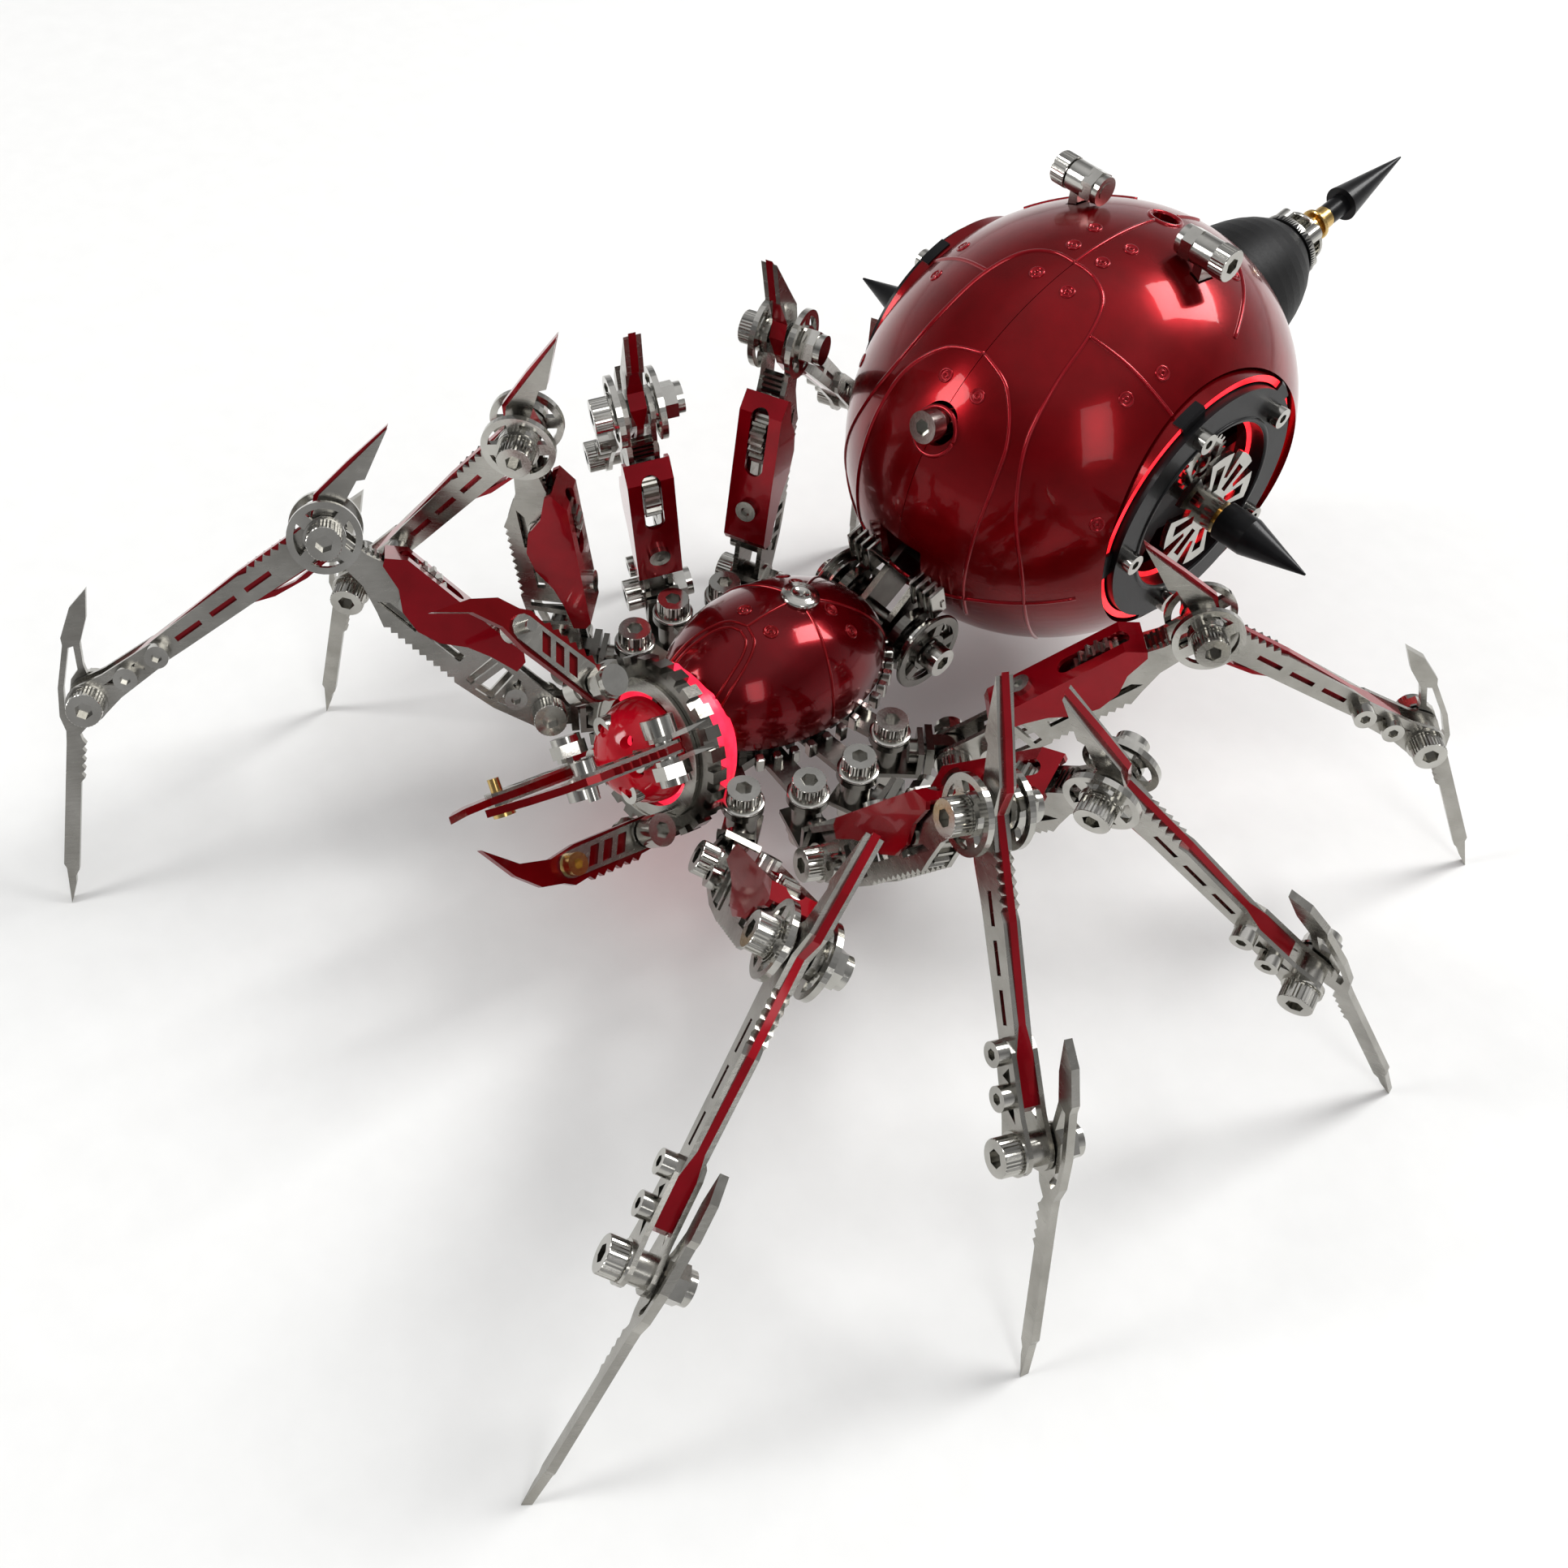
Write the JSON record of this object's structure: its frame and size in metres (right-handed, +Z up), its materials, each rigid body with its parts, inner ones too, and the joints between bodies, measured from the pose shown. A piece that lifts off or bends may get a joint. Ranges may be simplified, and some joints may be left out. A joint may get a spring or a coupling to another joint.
{
  "type": "poseable metal spider model",
  "caption": "Poseable mechanical spider with jointed blade-tipped legs on vertical hip bolts, opening claws, a domed thorax and a large hollow abdomen with side wheels and a tail spike.",
  "frame": {"origin": "middle of the overall footprint, on the floor the feet stand on", "axes": "+Z up, head toward -Y, the spider's left side toward +X"},
  "size_m": [0.1898, 0.2782, 0.0951],
  "materials": {
    "steel": "polished",
    "steel_and_red": "polished plates either side of a red lacquered core",
    "red_lacquer": "gloss candy lacquer",
    "red_light": "clear red, lit",
    "red_clear": "clear red",
    "black": "satin",
    "gunmetal": "satin",
    "black_rubber": "matte"
  },
  "bodies": {
    "thorax": {"base_plate": "steel", "thorax_shell": "red_lacquer", "thorax_track": "gunmetal", "neck_light": "red_light", "head_gear_ring": "gunmetal", "head_dome": "red_clear", "waist_wheels": "steel"},
    "coxa_L1": {"coxa_L1": "steel"},
    "femur_L1": {"femur_frame_L1": "steel", "femur_cover_L1": "red_lacquer"},
    "tibia_L1": {"tibia_L1": "steel_and_red"},
    "tarsus_L1": {"tarsus_L1": "steel"},
    "coxa_L2": {"coxa_L2": "steel"},
    "femur_L2": {"femur_frame_L2": "steel", "femur_cover_L2": "red_lacquer"},
    "tibia_L2": {"tibia_L2": "steel_and_red"},
    "tarsus_L2": {"tarsus_L2": "steel"},
    "coxa_L3": {"coxa_L3": "steel"},
    "femur_L3": {"femur_frame_L3": "steel", "femur_cover_L3": "red_lacquer"},
    "tibia_L3": {"tibia_L3": "steel_and_red"},
    "tarsus_L3": {"tarsus_L3": "steel"},
    "coxa_L4": {"coxa_L4": "steel"},
    "femur_L4": {"femur_frame_L4": "steel", "femur_cover_L4": "red_lacquer"},
    "tibia_L4": {"tibia_L4": "steel_and_red"},
    "tarsus_L4": {"tarsus_L4": "steel"},
    "coxa_R1": {"coxa_R1": "steel"},
    "femur_R1": {"femur_frame_R1": "steel", "femur_cover_R1": "red_lacquer"},
    "tibia_R1": {"tibia_R1": "steel_and_red"},
    "tarsus_R1": {"tarsus_R1": "steel"},
    "coxa_R2": {"coxa_R2": "steel"},
    "femur_R2": {"femur_frame_R2": "steel", "femur_cover_R2": "red_lacquer"},
    "tibia_R2": {"tibia_R2": "steel_and_red"},
    "tarsus_R2": {"tarsus_R2": "steel"},
    "coxa_R3": {"coxa_R3": "steel"},
    "femur_R3": {"femur_frame_R3": "steel", "femur_cover_R3": "red_lacquer"},
    "tibia_R3": {"tibia_R3": "steel_and_red"},
    "tarsus_R3": {"tarsus_R3": "steel"},
    "coxa_R4": {"coxa_R4": "steel"},
    "femur_R4": {"femur_frame_R4": "steel", "femur_cover_R4": "red_lacquer"},
    "tibia_R4": {"tibia_R4": "steel_and_red"},
    "tarsus_R4": {"tarsus_R4": "steel"},
    "claw_upper_left": {"claw_upper_left": "red_lacquer"},
    "claw_lower_left": {"claw_lower_left": "red_lacquer"},
    "claw_lower_right": {"claw_lower_right": "red_lacquer"},
    "claw_upper_right": {"claw_upper_right": "red_lacquer"},
    "abdomen": {"abdomen_frame": "steel", "abdomen_shell_left": "red_lacquer", "abdomen_shell_right": "red_lacquer", "side_rings": "black", "light_rings": "red_light", "tail_cone": "black_rubber", "tail_spear": "black"},
    "side_wheels": {"side_wheels": "steel", "side_spikes": "black"}
  },
  "joints": [
    {"name": "hip_yaw_L1", "type": "hinge", "parent": "thorax", "child": "coxa_L1", "pos_m": [-0.0037, -0.0489, 0.0263], "axis": [0, 0, 1], "range_deg": [-6, 6]},
    {"name": "hip_pitch_L1", "type": "hinge", "parent": "coxa_L1", "child": "femur_L1", "pos_m": [0.00321, -0.05778, 0.0263], "axis": [-0.7074, -0.5507, 0.4431], "range_deg": [-15, 15]},
    {"name": "knee_L1", "type": "hinge", "parent": "femur_L1", "child": "tibia_L1", "pos_m": [0.03588, -0.07562, 0.05628], "axis": [0.7074, 0.5507, -0.4431], "range_deg": [-25, 20]},
    {"name": "ankle_L1", "type": "hinge", "parent": "tibia_L1", "child": "tarsus_L1", "pos_m": [0.04732, -0.11287, 0.02825], "axis": [0.7074, 0.5507, -0.4431], "range_deg": [-25, 30]},
    {"name": "hip_yaw_L2", "type": "hinge", "parent": "thorax", "child": "coxa_L2", "pos_m": [0.0018, -0.0394, 0.0263], "axis": [0, 0, 1], "range_deg": [-6, 2]},
    {"name": "hip_pitch_L2", "type": "hinge", "parent": "coxa_L2", "child": "femur_L2", "pos_m": [0.01242, -0.04312, 0.0263], "axis": [-0.3229, -0.9221, 0.213], "range_deg": [-15, 8]},
    {"name": "knee_L2", "type": "hinge", "parent": "femur_L2", "child": "tibia_L2", "pos_m": [0.04, -0.04376, 0.06534], "axis": [0.3229, 0.9221, -0.213], "range_deg": [-25, 20]},
    {"name": "ankle_L2", "type": "hinge", "parent": "tibia_L2", "child": "tarsus_L2", "pos_m": [0.07141, -0.06201, 0.03396], "axis": [0.3229, 0.9221, -0.213], "range_deg": [-25, 30]},
    {"name": "hip_yaw_L3", "type": "hinge", "parent": "thorax", "child": "coxa_L3", "pos_m": [0.0033, -0.0294, 0.0263], "axis": [0, 0, 1], "range_deg": [-6, 6]},
    {"name": "hip_pitch_L3", "type": "hinge", "parent": "coxa_L3", "child": "femur_L3", "pos_m": [0.01395, -0.02577, 0.0263], "axis": [0.3146, -0.9242, -0.2164], "range_deg": [-15, 15]},
    {"name": "knee_L3", "type": "hinge", "parent": "femur_L3", "child": "tibia_L3", "pos_m": [0.04604, -0.02312, 0.06163], "axis": [-0.3146, 0.9242, 0.2164], "range_deg": [-25, 20]},
    {"name": "ankle_L3", "type": "hinge", "parent": "tibia_L3", "child": "tarsus_L3", "pos_m": [0.07851, -0.00497, 0.03129], "axis": [-0.3146, 0.9242, 0.2164], "range_deg": [-25, 30]},
    {"name": "hip_yaw_L4", "type": "hinge", "parent": "thorax", "child": "coxa_L4", "pos_m": [0.0008, -0.0194, 0.0263], "axis": [0, 0, 1], "range_deg": [-6, 6]},
    {"name": "hip_pitch_L4", "type": "hinge", "parent": "coxa_L4", "child": "femur_L4", "pos_m": [0.0083, -0.01101, 0.0263], "axis": [0.7402, -0.6618, 0.1184], "range_deg": [-15, 15]},
    {"name": "knee_L4", "type": "hinge", "parent": "femur_L4", "child": "tibia_L4", "pos_m": [0.03089, 0.01946, 0.05539], "axis": [-0.7402, 0.6618, -0.1184], "range_deg": [-22, 20]},
    {"name": "ankle_L4", "type": "hinge", "parent": "tibia_L4", "child": "tarsus_L4", "pos_m": [0.06131, 0.0496, 0.03371], "axis": [-0.7402, 0.6618, -0.1184], "range_deg": [-25, 30]},
    {"name": "hip_yaw_R1", "type": "hinge", "parent": "thorax", "child": "coxa_R1", "pos_m": [-0.0377, -0.0489, 0.0263], "axis": [0, 0, 1], "range_deg": [-1, 6]},
    {"name": "hip_pitch_R1", "type": "hinge", "parent": "coxa_R1", "child": "femur_R1", "pos_m": [-0.04355, -0.05851, 0.0263], "axis": [-0.7667, 0.4661, -0.4415], "range_deg": [-15, 6]},
    {"name": "knee_R1", "type": "hinge", "parent": "femur_R1", "child": "tibia_R1", "pos_m": [-0.07377, -0.079, 0.05715], "axis": [0.7667, -0.4661, 0.4415], "range_deg": [-25, 20]},
    {"name": "ankle_R1", "type": "hinge", "parent": "tibia_R1", "child": "tarsus_R1", "pos_m": [-0.08582, -0.11983, 0.03498], "axis": [0.7667, -0.4661, 0.4415], "range_deg": [-25, 30]},
    {"name": "hip_yaw_R2", "type": "hinge", "parent": "thorax", "child": "coxa_R2", "pos_m": [-0.0432, -0.0394, 0.0263], "axis": [0, 0, 1], "range_deg": [-6, 1]},
    {"name": "hip_pitch_R2", "type": "hinge", "parent": "coxa_R2", "child": "femur_R2", "pos_m": [-0.05161, -0.04687, 0.0263], "axis": [-0.6638, 0.7477, -0.0157], "range_deg": [-15, 5]},
    {"name": "knee_R2", "type": "hinge", "parent": "femur_R2", "child": "tibia_R2", "pos_m": [-0.05708, -0.05073, 0.07363], "axis": [0.6638, -0.7477, 0.0157], "range_deg": [-4, 10]},
    {"name": "ankle_R2", "type": "hinge", "parent": "tibia_R2", "child": "tarsus_R2", "pos_m": [-0.08015, -0.07197, 0.03729], "axis": [0.6638, -0.7477, 0.0157], "range_deg": [-25, 30]},
    {"name": "hip_yaw_R3", "type": "hinge", "parent": "thorax", "child": "coxa_R3", "pos_m": [-0.0447, -0.0294, 0.0263], "axis": [0, 0, 1], "range_deg": [-6, 6]},
    {"name": "hip_pitch_R3", "type": "hinge", "parent": "coxa_R3", "child": "femur_R3", "pos_m": [-0.05489, -0.02463, 0.0263], "axis": [0.4214, 0.8996, 0.1149], "range_deg": [-15, 2]},
    {"name": "knee_R3", "type": "hinge", "parent": "femur_R3", "child": "tibia_R3", "pos_m": [-0.0517, -0.03214, 0.0734], "axis": [-0.4214, -0.8996, -0.1149], "range_deg": [-25, 2]},
    {"name": "ankle_R3", "type": "hinge", "parent": "tibia_R3", "child": "tarsus_R3", "pos_m": [-0.07911, -0.01478, 0.03802], "axis": [-0.4214, -0.8996, -0.1149], "range_deg": [-25, 30]},
    {"name": "hip_yaw_R4", "type": "hinge", "parent": "thorax", "child": "coxa_R4", "pos_m": [-0.0422, -0.0194, 0.0263], "axis": [0, 0, 1], "range_deg": [-2, 6]},
    {"name": "hip_pitch_R4", "type": "hinge", "parent": "coxa_R4", "child": "femur_R4", "pos_m": [-0.04649, -0.009, 0.0263], "axis": [0.9243, 0.381, 0.0209], "range_deg": [-15, 15]},
    {"name": "knee_R4", "type": "hinge", "parent": "femur_R4", "child": "tibia_R4", "pos_m": [-0.05121, -0.00011, 0.07303], "axis": [-0.9243, -0.381, -0.0209], "range_deg": [-4, 20]},
    {"name": "ankle_R4", "type": "hinge", "parent": "tibia_R4", "child": "tarsus_R4", "pos_m": [-0.06329, 0.03109, 0.03861], "axis": [-0.9243, -0.381, -0.0209], "range_deg": [-25, 18]},
    {"name": "claw_hinge_upper_left", "type": "hinge", "parent": "thorax", "child": "claw_upper_left", "pos_m": [-0.01172, -0.0588, 0.04374], "axis": [-0.7071, 0.183, 0.683], "range_deg": [-3, 40]},
    {"name": "claw_hinge_lower_left", "type": "hinge", "parent": "thorax", "child": "claw_lower_left", "pos_m": [-0.01172, -0.06345, 0.0264], "axis": [0.7071, 0.183, 0.683], "range_deg": [-3, 40]},
    {"name": "claw_hinge_lower_right", "type": "hinge", "parent": "thorax", "child": "claw_lower_right", "pos_m": [-0.02968, -0.06345, 0.0264], "axis": [0.7071, -0.183, -0.683], "range_deg": [-3, 40]},
    {"name": "claw_hinge_upper_right", "type": "hinge", "parent": "thorax", "child": "claw_upper_right", "pos_m": [-0.02968, -0.0588, 0.04374], "axis": [-0.7071, -0.183, -0.683], "range_deg": [-50, 5]},
    {"name": "waist_pitch", "type": "hinge", "parent": "thorax", "child": "abdomen", "pos_m": [-0.0207, 0.0001, 0.03], "axis": [1, 0, 0], "range_deg": [-5, 8]},
    {"name": "side_wheel_spin", "type": "hinge", "parent": "abdomen", "child": "side_wheels", "pos_m": [-0.0207, 0.0441, 0.054], "axis": [1, 0, 0], "continuous": true}
  ]
}
